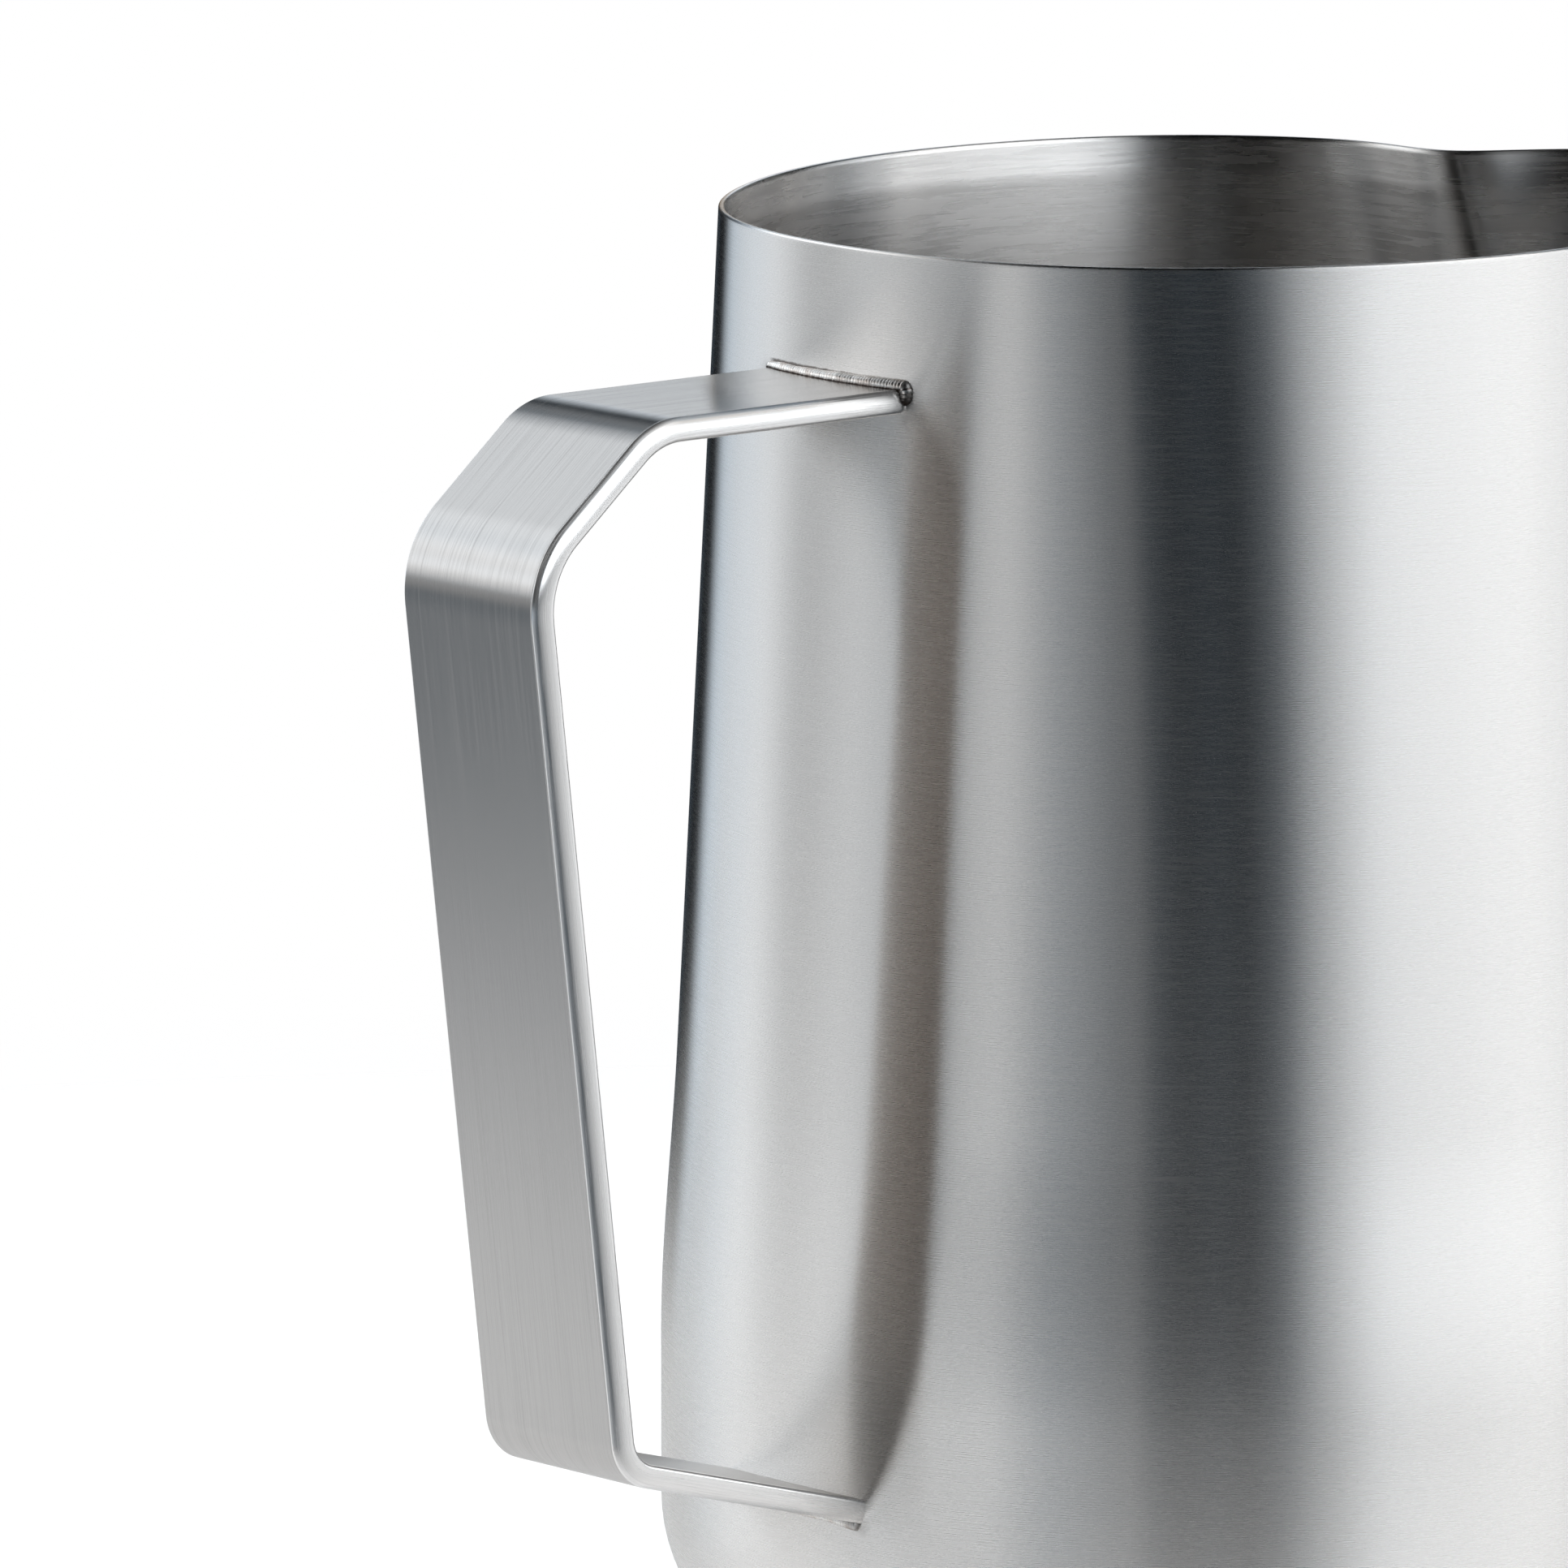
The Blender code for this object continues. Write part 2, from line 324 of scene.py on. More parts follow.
def rounded_path(corners, radii):
    """(x, z, normal x, normal z) along the strap's outer face: straight runs, with an arc in each corner."""
    path = []
    arcs = []
    for before, corner, after, radius in zip(corners, corners[1:], corners[2:], radii):
        back = math.atan2(before[1] - corner[1], before[0] - corner[0])
        ahead = math.atan2(after[1] - corner[1], after[0] - corner[0])
        half = ((ahead - back + math.pi) % (2 * math.pi) - math.pi) / 2
        reach = radius / abs(math.sin(half))
        centre = (corner[0] + reach * math.cos(back + half), corner[1] + reach * math.sin(back + half))
        side = math.copysign(1, half)
        first = back - side * math.pi / 2
        sweep = side * (2 * abs(half) - math.pi)
        arcs.append((centre, radius, first, sweep))
    for centre, radius, first, sweep in arcs:
        turns = first + sweep * np.linspace(0, 1, BEND_STEPS + 1)
        ring = [(centre[0] + radius * math.cos(t), centre[1] + radius * math.sin(t)) for t in turns]
        normals = [(math.cos(t), math.sin(t)) for t in turns]
        path += [(*place, *normal) for place, normal in zip(ring, normals)]
    first_normal, last_normal = path[0][2:], path[-1][2:]
    path.insert(0, (*corners[0], *first_normal))
    path.append((*corners[-1], *last_normal))
    return np.array(path)


def with_supports(path, gap=0.0004):
    """The path with extra points along its straight runs, close to their ends, to keep their shading flat."""
    filled = [path[0]]
    for here, there in zip(path, path[1:]):
        run = np.linalg.norm(there[:2] - here[:2])
        if run > 4 * gap:
            filled += [here + (there - here) * share for share in (gap / run, 0.25, 0.5, 0.75, 1 - gap / run)]
        filled.append(there)
    return np.array(filled)


def strap_section():
    """(depth below the outer face, place across the strap) round the strap's section."""
    edge = []
    depth, y, heading = 0.0, 0.0, 0.0
    for turn, length in EDGE_ARCS:
        for _ in range(ARC_STEPS):
            heading += math.radians(turn) / ARC_STEPS / 2
            y += length / ARC_STEPS * math.cos(heading)
            depth += length / ARC_STEPS * math.sin(heading)
            heading += math.radians(turn) / ARC_STEPS / 2
            edge.append((depth, y))
    edge = np.array([(0.0, 0.0), *edge])
    edge[:, 0] *= STRAP_THICKNESS / depth
    edge[:, 1] += STRAP_WIDTH / 2 - edge[:, 1].max()
    outer_flat, inner_flat = edge[0, 1] - SUPPORT_GAP, edge[-1, 1] - SUPPORT_GAP
    shares = np.linspace(-1, 1, FACE_COLUMNS)
    top = np.stack([0 * shares, outer_flat * shares], axis=-1)
    bottom = np.stack([0 * shares + STRAP_THICKNESS, -inner_flat * shares], axis=-1)
    return np.concatenate([top, edge, bottom, edge[::-1] * (1, -1)])


def meet_wall(points, way, sunk):
    """Each point moved along the way until it lies that far below the body's wall."""
    moved = points.copy()
    for _ in range(8):
        radius = wall_radius(moved[:, 2]) - sunk
        target = -np.sqrt(radius**2 - moved[:, 1] ** 2)
        moved += way[None, :] * ((target - moved[:, 0]) / way[0])[:, None]
    return moved


def place_section(section, at):
    """The section's points in space, at one point of the path."""
    x, z, normal_x, normal_z = at
    depth, across = section[:, 0], section[:, 1]
    return np.stack([x - depth * normal_x, across, z - depth * normal_z], axis=-1)


def rounded_tip(section, at, way, tip_round):
    """Rows that fit an arm's end to the wall, with its edges rounded, from the arm outwards."""
    core_depth = np.clip(section[:, 0], tip_round, STRAP_THICKNESS - tip_round)
    core_across = np.clip(section[:, 1], tip_round - STRAP_WIDTH / 2, STRAP_WIDTH / 2 - tip_round)
    core = np.stack([core_depth, core_across], axis=-1)
    rows = []
    for turn in np.linspace(0, math.pi / 2, TIP_STEPS + 1):
        shrunk = core + (section - core) * math.cos(turn)
        back = tip_round * (1 - math.sin(turn))
        rows.append(meet_wall(place_section(shrunk, at), way, WELD_DEPTH) - back * way)
    return rows


def strap_piece():
    """The strap: one flat bar swept along its bent path, with both ends fitted to the body's wall."""
    start = (-wall_radius(ARM_TOP) - ARM_MARGIN, ARM_TOP)
    run = np.array([ARM_END[0] - HEEL_BEND[0], ARM_END[1] - HEEL_BEND[1]])
    stop = HEEL_BEND + run * (-BELLY_RADIUS - ARM_MARGIN - HEEL_BEND[0]) / run[0]
    corners = [start, SHOULDER_BEND, KNUCKLE_BEND, HEEL_BEND, tuple(stop)]
    path = with_supports(rounded_path(corners, BEND_RADII))
    section = strap_section()

    upper_way = np.array([1.0, 0.0, 0.0])
    lower_way = unit(np.array([run[0], 0.0, run[1]]))
    upper_tip = rounded_tip(section, path[0], upper_way, UPPER_TIP_ROUND)
    lower_tip = rounded_tip(section, path[-1], lower_way, LOWER_TIP_ROUND)
    points = np.array([*upper_tip[::-1], *[place_section(section, at) for at in path], *lower_tip])

    lengths = np.linalg.norm(np.diff(points[:, 0], axis=0), axis=1)
    along = np.concatenate([[0], np.cumsum(lengths)])
    edges = np.linalg.norm(np.diff(section, axis=0), axis=1)
    girth = np.concatenate([[0], np.cumsum(edges)])
    grain = np.zeros_like(points)
    grain[..., 0] = along[:, None]
    grain[..., 2] = girth[None, :]
    ways = np.gradient(points.mean(axis=1), axis=0)
    scratch = np.repeat(unit(ways)[:, None, :], points.shape[1], axis=1)
    ends = (points[0].mean(axis=0), points[-1].mean(axis=0))
    strap = grid_object("strap_handle", points, grain, scratch, around=True, ends=ends)

    columns = len(section)
    on_edge = np.abs(section[:, 1]) > section[:FACE_COLUMNS, 1].max() + SUPPORT_GAP / 2
    on_inside = section[:, 0] > 0.9 * STRAP_THICKNESS
    for face in strap.data.polygons:
        ring = [index % columns for index in face.vertices if index < len(points) * columns]
        if all(on_edge[ring]):
            face.material_index = 1
        elif all(on_inside[ring]):
            face.material_index = 2
    return strap


# ---- The weld beads ----


def smooth_noise(places, pitch, seed):
    """Values from -1 to 1 that change smoothly over about one pitch."""
    generator = np.random.default_rng(seed)
    count = int(places.max() / pitch) + 3
    knots = generator.uniform(-1, 1, count)
    return np.interp(places / pitch, np.arange(count), knots)


def bead_piece(name, spine, size, lean, bulge, seed, clearance):
    """A rippled bead of weld metal along the spine's points.

    lean is how much thicker it is at its near end than at its middle, and bulge how much thicker it is near
    both ends. seed picks its unevenness. clearance gives, for points of its surface, how far they stand clear
    of the steel that it joins.
    """
    steps = np.linalg.norm(np.diff(spine, axis=0), axis=1)
    length = np.concatenate([[0], np.cumsum(steps)])
    places = np.arange(0, length[-1], BEAD_RIPPLE / RIPPLE_STEPS)
    line = np.stack([np.interp(places, length, spine[:, axis]) for axis in range(3)], axis=-1)
    for _ in range(BEAD_SMOOTHING):
        line[1:-1] = (line[:-2] + 2 * line[1:-1] + line[2:]) / 4
    way = unit(np.gradient(line, axis=0))
    away = line * (1.0, 1.0, 0.0)
    away = unit(away - (away * way).sum(axis=1, keepdims=True) * way)
    side = np.cross(way, away)
    turns = np.linspace(0, 2 * math.pi, BEAD_SIDES, endpoint=False)

    wander = places + 0.3 * BEAD_RIPPLE * smooth_noise(places, 4 * BEAD_RIPPLE, seed)
    phase = (wander / BEAD_RIPPLE) % 1
    ripple = RIPPLE_RISE * (1 - phase) ** 0.6
    swelling = BEAD_UNEVEN * smooth_noise(places, 6 * BEAD_RIPPLE, seed + 1)
    to_end = np.minimum(places, places[-1] - places)
    taper = np.sqrt(np.clip(to_end / (0.7 * size), 0.03, 1))
    thicker = bulge * np.exp(-((to_end / BULGE_REACH) ** 2))
    leaning = lean * (2 * places / places[-1] - 1)
    radius = size * taper * (BEAD_CORE + ripple + swelling + thicker + leaning)
    points = (
        line[:, None, :]
        + radius[:, None, None] * np.cos(turns)[None, :, None] * away[:, None, :]
        + radius[:, None, None] * np.sin(turns)[None, :, None] * side[:, None, :]
    )
    grain = np.zeros_like(points)
    grain[..., 0] = clearance(points)
    grain[..., 1] = to_end[:, None]
    grain[..., 2] = wander[:, None]
    scratch = np.repeat(side[:, None, :], len(turns), axis=1)
    return grid_object(name, points, grain, scratch, around=True, ends=(line[0], line[-1]))


def seam(height, half_width, clear):
    """Points round the wall at one height, across the width of an arm and clear of the wall by that much."""
    radius = wall_radius(height) + clear
    half_angle = math.asin(half_width / radius)
    angles = math.pi + np.linspace(-half_angle, half_angle, SEAM_STEPS)
    return np.stack([radius * np.cos(angles), radius * np.sin(angles), 0 * angles + height], axis=-1)


def off_wall(points):
    """How far points stand outside the round wall."""
    return np.hypot(points[..., 0], points[..., 1]) - wall_radius(points[..., 2])


def upper_bead():
    """The bead on top of the upper arm, turned down past both of its edges."""
    gap = UPPER_BEAD_OFFSET
    line = seam(ARM_TOP + gap, STRAP_WIDTH / 2 - gap, gap)
    drop = np.array([0, 0, BEAD_WRAP])
    spine = np.vstack([line[0] - drop, line, line[-1] - drop])

    def clearance(points):
        off_arm = np.where(np.abs(points[..., 1]) < STRAP_WIDTH / 2, points[..., 2] - ARM_TOP, 1.0)
        return np.minimum(off_wall(points), off_arm)

    return bead_piece(
        "upper_weld", spine, UPPER_BEAD_RADIUS, UPPER_BEAD_LEAN, UPPER_BEAD_BULGE, UPPER_BEAD_SEED, clearance
    )


def lower_arm_underside(x):
    """The height of the lower arm's outer face, which is its underside, over a point of the XZ plane."""
    slope = (ARM_END[1] - HEEL_BEND[1]) / (ARM_END[0] - HEEL_BEND[0])
    return ARM_END[1] + slope * (x - ARM_END[0])


def lower_bead():
    """The bead tucked into the corner under the lower arm."""
    line = seam(ARM_END[1], STRAP_WIDTH / 2 - LOWER_BEAD_INSET, 0.0)
    line[:, 2] = lower_arm_underside(line[:, 0]) - LOWER_BEAD_DROP

    def clearance(points):
        return np.minimum(off_wall(points), lower_arm_underside(points[..., 0]) - points[..., 2])

    return bead_piece(
        "lower_weld", line, LOWER_BEAD_RADIUS, LOWER_BEAD_LEAN, LOWER_BEAD_BULGE, LOWER_BEAD_SEED, clearance
    )


# ---- Materials ----

STEEL = (0.80, 0.78, 0.76)
STRAP_STEEL = (0.57, 0.556, 0.543)
INNER_STRAP_STEEL = (0.62, 0.605, 0.59)
EDGE_STEEL = (0.86, 0.85, 0.84)
# (place in the patches' noise, colour) of weld metal, from burnt to bare.
HEAT_COLOURS = (
    (0.38, (0.64, 0.58, 0.54, 1)),
    (0.48, (0.76, 0.73, 0.70, 1)),
    (0.60, (0.78, 0.77, 0.75, 1)),
)
GROOVE_COLOUR = (0.13, 0.095, 0.085, 1)
# Painted shade in the crevice along a weld's foot, where the bead meets the steel.
FOOT_SHADE_COLOUR = (0.06, 0.045, 0.04, 1)
# Dark bead ends: partly burnt weld metal, partly painted shade in the corners where the bead ends.
BURNT_AND_SHADE_COLOUR = (0.035, 0.028, 0.025, 1)
# Heat tint and painted shade on the wall in the corners beside the arms.
SCORCH_AND_SHADE_COLOUR = (0.10, 0.08, 0.07, 1)
# Painted shadow in the undercut along the top of the upper bead.
SEAM_SHADOW_COLOUR = (0.09, 0.07, 0.06, 1)

STEEL_PATCH = 0.012
PATCH_SHADE = 0.03
# Moves the wide scratches' noise away from the thin ones'.
WIDE_SHIFT = 7.3
WELD_PATCH = 0.0018
WELD_SPOT = 0.0003
WELD_RELIEF = 0.00001
# How ragged the painted shade along a weld's foot is, in the crevice where the bead meets the steel, and the
# clearances at which it is full and gone.
FOOT_SHADE_RAGGEDNESS = 0.00016
FOOT_SHADE_FULL, FOOT_SHADE_GONE = -0.00004, 0.00008
SCORCH_AND_SHADE_PATCH = 0.0012
SEAM_SHADOW_PATCH = 0.0005


def node(tree, kind, inputs=None, **settings):
    """A new node with its settings made and its inputs set, or linked where one is another node's output."""
    made = tree.nodes.new(kind)
    for label, value in settings.items():
        setattr(made, label, value)
    for label, value in (inputs or {}).items():
        if isinstance(value, bpy.types.NodeSocket):
            tree.links.new(value, made.inputs[label])
        else:
            made.inputs[label].default_value = value
    return made


def calc(tree, operation, *values):
    """The output of a Math node."""
    return node(tree, "ShaderNodeMath", dict(enumerate(values)), operation=operation).outputs[0]


def mapped(tree, value, from_low, from_high, to_low, to_high, kind="LINEAR"):
    """The value carried from one range to another, and held inside it."""
    inputs = {
        "Value": value,
        "From Min": from_low,
        "From Max": from_high,
        "To Min": to_low,
        "To Max": to_high,
    }
    return node(tree, "ShaderNodeMapRange", inputs, interpolation_type=kind).outputs["Result"]


def streaks(tree, length, thickness, shift=0.0):
    """Noise drawn out along the scratches, from 0 to 1. The sizes are of one streak, in metres."""
    grain = node(tree, "ShaderNodeAttribute", attribute_name="grain").outputs["Vector"]
    scale = (1 / length, 1 / length, 1 / thickness)
    moved = {0: grain, 1: scale, 2: (shift,) * 3}
    stretched = node(tree, "ShaderNodeVectorMath", moved, operation="MULTIPLY_ADD")
    inputs = {"Vector": stretched.outputs["Vector"], "Scale": 1.0, "Detail": 2.0, "Roughness": 0.5}
    return node(tree, "ShaderNodeTexNoise", inputs).outputs["Fac"]


def clouds(tree, size, detail=3.0):
    """Soft patches, from 0 to 1."""
    place = node(tree, "ShaderNodeTexCoord").outputs["Object"]
    inputs = {"Vector": place, "Scale": 1 / size, "Detail": detail, "Roughness": 0.5}
    return node(tree, "ShaderNodeTexNoise", inputs).outputs["Fac"]


def new_material(name):
    """A new material, with its node tree and its shader."""
    made = bpy.data.materials.new(name)
    made.use_nodes = True
    tree = made.node_tree
    return made, tree, tree.nodes["Principled BSDF"]


def brushed_steel(
    name,
    tint,
    roughness,
    anisotropy,
    fine,
    coarse,
    relief,
    scuffing,
    shading,
    scatter,
    haze=0.0,
    burns_and_shade=(),
    grip_shade=False,
):
    """Steel with scratches along the piece's own direction.

    fine and coarse are the (length, thickness) of its two kinds of scratch, and relief is their depth. At the
    deepest scratches the steel is duller by scuffing, darker by shading and scatters the share scatter of the
    light. Everywhere it scatters the share haze. burns_and_shade are the places where the wall is darkened
    beside a weld, partly as heat tint and partly as painted shade, and grip_shade paints shade on the
    handle's grip.
    """
    made, tree, shader = new_material(name)
    thin = streaks(tree, *fine)
    wide = streaks(tree, *coarse, shift=WIDE_SHIFT)
    patches = clouds(tree, STEEL_PATCH)

    scuffs = mapped(tree, thin, 0.45, 0.72, 0.0, 1.0, kind="SMOOTHSTEP")
    broad = mapped(tree, wide, 0.48, 0.75, 0.0, 0.7, kind="SMOOTHSTEP")
    marks = calc(tree, "ADD", scuffs, broad)
    level = calc(tree, "MULTIPLY_ADD", marks, -shading, 1.0)
    level = calc(tree, "MULTIPLY_ADD", patches, PATCH_SHADE, level)
    scaled = node(tree, "ShaderNodeVectorMath", {0: tint, "Scale": level}, operation="SCALE")
    colour = scaled.outputs["Vector"]
    rough = calc(tree, "MULTIPLY_ADD", marks, scuffing, roughness)
    bare = calc(tree, "MULTIPLY_ADD", marks, -scatter, 1.0 - haze)

    depth = calc(tree, "MULTIPLY_ADD", wide, 1.5, thin)
    bumped = node(tree, "ShaderNodeBump", {"Height": depth, "Distance": relief, "Strength": 1.0})
    way = node(tree, "ShaderNodeAttribute", attribute_name="scratch").outputs["Vector"]
    # The wall darkened beside the arms, partly heat tint and partly painted shade, with a painted shadow line
    # above the upper bead.
    if burns_and_shade:
        colour = scorched_and_shaded(tree, colour, burns_and_shade)
    # Painted shade on the grip's inner face, where it faces the body.
    if grip_shade:
        colour = grip_shaded(tree, colour)
    tree.links.new(colour, shader.inputs["Base Color"])
    tree.links.new(rough, shader.inputs["Roughness"])
    tree.links.new(bumped.outputs["Normal"], shader.inputs["Normal"])
    tree.links.new(way, shader.inputs["Tangent"])
    tree.links.new(bare, shader.inputs["Metallic"])
    shader.inputs["Anisotropic"].default_value = anisotropy
    shader.inputs["Anisotropic Rotation"].default_value = 0.25
    return made


def blend(tree, share, first, second):
    """The first colour turned into the second by a share from 0 to 1."""
    inputs = {0: share, 6: first, 7: second}
    return node(tree, "ShaderNodeMix", inputs, data_type="RGBA").outputs[2]


def weld_metal(name, ripples, foot, burning_and_shade, burnt_and_shaded_end):
    """Rippled weld metal with heat colours, painted shade along its foot, and dark ends that are partly burnt
    metal and partly painted shade.

    ripples, foot and burning_and_shade say how dark the lines between the ripples, the painted shade along
    the foot and the ends are, and burnt_and_shaded_end is how far the ends' darkening reaches.
    """
    made, tree, shader = new_material(name)
    grain = node(tree, "ShaderNodeAttribute", attribute_name="grain").outputs["Vector"]
    clear, to_end, along = node(tree, "ShaderNodeSeparateXYZ", {0: grain}).outputs
    patches = clouds(tree, WELD_PATCH)
    spots = clouds(tree, WELD_SPOT, detail=2.0)

    heat = node(tree, "ShaderNodeValToRGB", {"Fac": patches})
    stops = heat.color_ramp.elements
    stops.new(0.5)
    for stop, (position, colour) in zip(stops, HEAT_COLOURS):
        stop.position, stop.color = position, colour

    phase = calc(tree, "FRACT", calc(tree, "DIVIDE", along, BEAD_RIPPLE))
    off_crest = calc(tree, "ABSOLUTE", calc(tree, "SUBTRACT", phase, 0.5))
    groove = mapped(tree, off_crest, 0.30, 0.5, 0.0, ripples, kind="SMOOTHSTEP")
    lined = blend(tree, groove, heat.outputs["Color"], GROOVE_COLOUR)
    # Painted shade in the crevice along the bead's foot, strongest where it is closest to the steel.
    ragged = calc(tree, "MULTIPLY_ADD", spots, -FOOT_SHADE_RAGGEDNESS, clear)
    edge = mapped(tree, ragged, FOOT_SHADE_FULL, FOOT_SHADE_GONE, foot, 0.0, kind="SMOOTHSTEP")
    foot_shaded = blend(tree, edge, lined, FOOT_SHADE_COLOUR)
    # The bead's dark ends: partly burnt weld metal, partly painted shade in the corners where it ends.
    uneven = calc(tree, "MULTIPLY_ADD", spots, -0.7 * burnt_and_shaded_end, to_end)
    burn_and_shade = mapped(tree, uneven, -0.2 * burnt_and_shaded_end, burnt_and_shaded_end, burning_and_shade, 0.0, kind="SMOOTHSTEP")
    colour = blend(tree, burn_and_shade, foot_shaded, BURNT_AND_SHADE_COLOUR)
    rough = calc(tree, "MULTIPLY_ADD", burn_and_shade, 0.25, mapped(tree, spots, 0.35, 0.7, 0.20, 0.40))
    tree.links.new(colour, shader.inputs["Base Color"])
    tree.links.new(rough, shader.inputs["Roughness"])
    bumped = node(tree, "ShaderNodeBump", {"Height": spots, "Distance": WELD_RELIEF, "Strength": 1.0})
    tree.links.new(bumped.outputs["Normal"], shader.inputs["Normal"])
    shader.inputs["Metallic"].default_value = 1.0
    return made


def scorched_and_shaded(tree, colour, spots):
    """The colour darkened round each (place, reach, strength) on both sides of the handle, partly as heat
    tint and partly as painted shade, and a painted shadow line on the wall along the top of the upper bead.
    """
    place = node(tree, "ShaderNodeTexCoord").outputs["Object"]
    x, y, z = node(tree, "ShaderNodeSeparateXYZ", {0: place}).outputs
    off_middle = calc(tree, "ABSOLUTE", y)
    mirrored = node(tree, "ShaderNodeCombineXYZ", {0: x, 1: off_middle, 2: z}).outputs["Vector"]
    uneven = mapped(tree, clouds(tree, SCORCH_AND_SHADE_PATCH), 0.3, 0.7, -0.15, 0.15)
    for point, reach, strength in spots:
        distance = node(tree, "ShaderNodeVectorMath", {0: mirrored, 1: point}, operation="DISTANCE")
        gap = distance.outputs["Value"]
        share = calc(tree, "ADD", calc(tree, "DIVIDE", gap, reach), uneven)
        # Partly heat tint, partly painted shade in the corner where the arm meets the wall.
        burnt = mapped(tree, share, 0.1, 1.0, strength, 0.0, kind="SMOOTHSTEP")
        colour = blend(tree, burnt, colour, SCORCH_AND_SHADE_COLOUR)

    # A painted shadow line on the wall along the top of the upper bead, where the bead undercuts the wall.
    ragged = calc(tree, "MULTIPLY_ADD", clouds(tree, SEAM_SHADOW_PATCH), SEAM_SHADOW_WIDTH, z)
    top = ARM_TOP + UPPER_BEAD_RADIUS + 1.1 * SEAM_SHADOW_WIDTH
    line = mapped(tree, ragged, top, top + 0.7 * SEAM_SHADOW_WIDTH, 0.85, 0.0)
    nearby = mapped(tree, z, ARM_TOP - 0.001, ARM_TOP, 0.0, 1.0)
    inside = mapped(tree, off_middle, 0.45 * STRAP_WIDTH, 0.5 * STRAP_WIDTH, 1.0, 0.0)
    handle_side = calc(tree, "LESS_THAN", x, 0.0)
    share = line
    for limit in (nearby, inside, handle_side):
        share = calc(tree, "MULTIPLY", share, limit)
    return blend(tree, share, colour, SEAM_SHADOW_COLOUR)


def grip_shaded(tree, colour):
    """The colour turned dark and warm along the handle's grip as painted shade between the handle and the
    body, fading out towards both arms.
    """
    place = node(tree, "ShaderNodeTexCoord").outputs["Object"]
    height = node(tree, "ShaderNodeSeparateXYZ", {0: place}).outputs["Z"]
    above_heel = mapped(tree, height, HEEL_BEND[1], HEEL_BEND[1] + GRIP_SHADE_FADE, 0.0, 1.0, kind="SMOOTHSTEP")
    below_arm = mapped(tree, height, ARM_TOP - GRIP_SHADE_FADE, ARM_TOP, 1.0, 0.0, kind="SMOOTHSTEP")
    return blend(tree, calc(tree, "MULTIPLY", above_heel, below_arm), colour, GRIP_SHADE_COLOUR)


def dress(piece, node_name, slot_name, *materials):
    """The piece given its materials, and put in the place of the CAD's node."""
    for material in materials:
        piece.data.materials.append(material)
    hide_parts(node_name)
    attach(piece, "root")


def make_pieces():
    """The pitcher's four pieces, in their materials."""
    outside = brushed_steel(
        "body_steel",
        tint=STEEL,
        roughness=0.27,
        anisotropy=1.0,
        fine=(0.0024, 0.00009),
        coarse=(0.007, 0.00022),
        relief=0.0000007,
        scuffing=0.012,
        shading=0.010,
        scatter=0.014,
        burns_and_shade=BURN_AND_SHADE_SPOTS,
    )
    inside = brushed_steel(
        "inner_steel",
        tint=STEEL,
        roughness=0.26,
        anisotropy=0.97,
        fine=(0.005, 0.0003),
        coarse=(0.016, 0.0009),
        relief=0.000006,
        scuffing=0.04,
        shading=0.06,
        scatter=0.03,
    )
    face = brushed_steel(
        "strap_steel",
        tint=STRAP_STEEL,
        roughness=0.21,
        anisotropy=1.0,
        fine=(0.012, 0.00009),
        coarse=(0.04, 0.0003),
        relief=0.000005,
        scuffing=0.03,
        shading=0.06,
        scatter=0.05,
    )
    edge = brushed_steel(
        "strap_edge_steel",
        tint=EDGE_STEEL,
        roughness=0.22,
        anisotropy=0.6,
        fine=(0.006, 0.00010),
        coarse=(0.03, 0.00022),
        relief=0.0000015,
        scuffing=0.04,
        shading=0.05,
        scatter=0.2,
        haze=0.06,
    )
    inner_face = brushed_steel(
        "strap_inner_steel",
        tint=INNER_STRAP_STEEL,
        roughness=0.28,
        anisotropy=0.9,
        fine=(0.012, 0.00012),
        coarse=(0.04, 0.0004),
        relief=0.000003,
        scuffing=0.03,
        shading=0.05,
        scatter=0.02,
        grip_shade=True,
    )
    upper_weld = weld_metal("upper_weld_metal", ripples=0.95, foot=1.0, burning_and_shade=1.0, burnt_and_shaded_end=BURNT_AND_SHADED_END)
    lower_weld = weld_metal("lower_weld_metal", ripples=0.35, foot=0.3, burning_and_shade=0.4, burnt_and_shaded_end=BURNT_AND_SHADED_END)
    dress(body_piece(), "pitcher_body", "drawn_steel", outside, inside)
    dress(strap_piece(), "handle_strap", "strap_steel", face, edge, inner_face)
    dress(upper_bead(), "upper_weld_bead", "weld", upper_weld)
    dress(lower_bead(), "lower_weld_bead", "weld", lower_weld)


# ---- The studio ----

VIEW_AZIMUTH = math.radians(-40.276)
VIEW_ELEVATION = math.radians(9.649)
VIEW_DISTANCE = 1.44913
VIEW_RIGHT = -0.033376
VIEW_UP = 0.001269
VIEW_HEIGHT = 0.06995
LENS = 418.5
SENSOR = 36.0

FLOOR_WIDTH = 0.72
FLOOR_DEPTH = 0.46
FLOOR_SETBACK = 0.08
FLOOR_FADE = 0.42
FLOOR_LIFT = 0.3
FLOOR_GAP = 0.0002
LAMP_SIZE = 0.5
LAMP_HEIGHT = 0.6
# (distance to the set's right, distance away from the camera, power) of each lamp over the floor. The second
# lamp's power comes from the program that fitted RINGS.
LAMPS = ((-0.4, -0.3, 5.4), (0.4, -0.1, 1.36))

# The highest level in the rings, with a little to spare for its warmth.
BRIGHTEST = 4.6

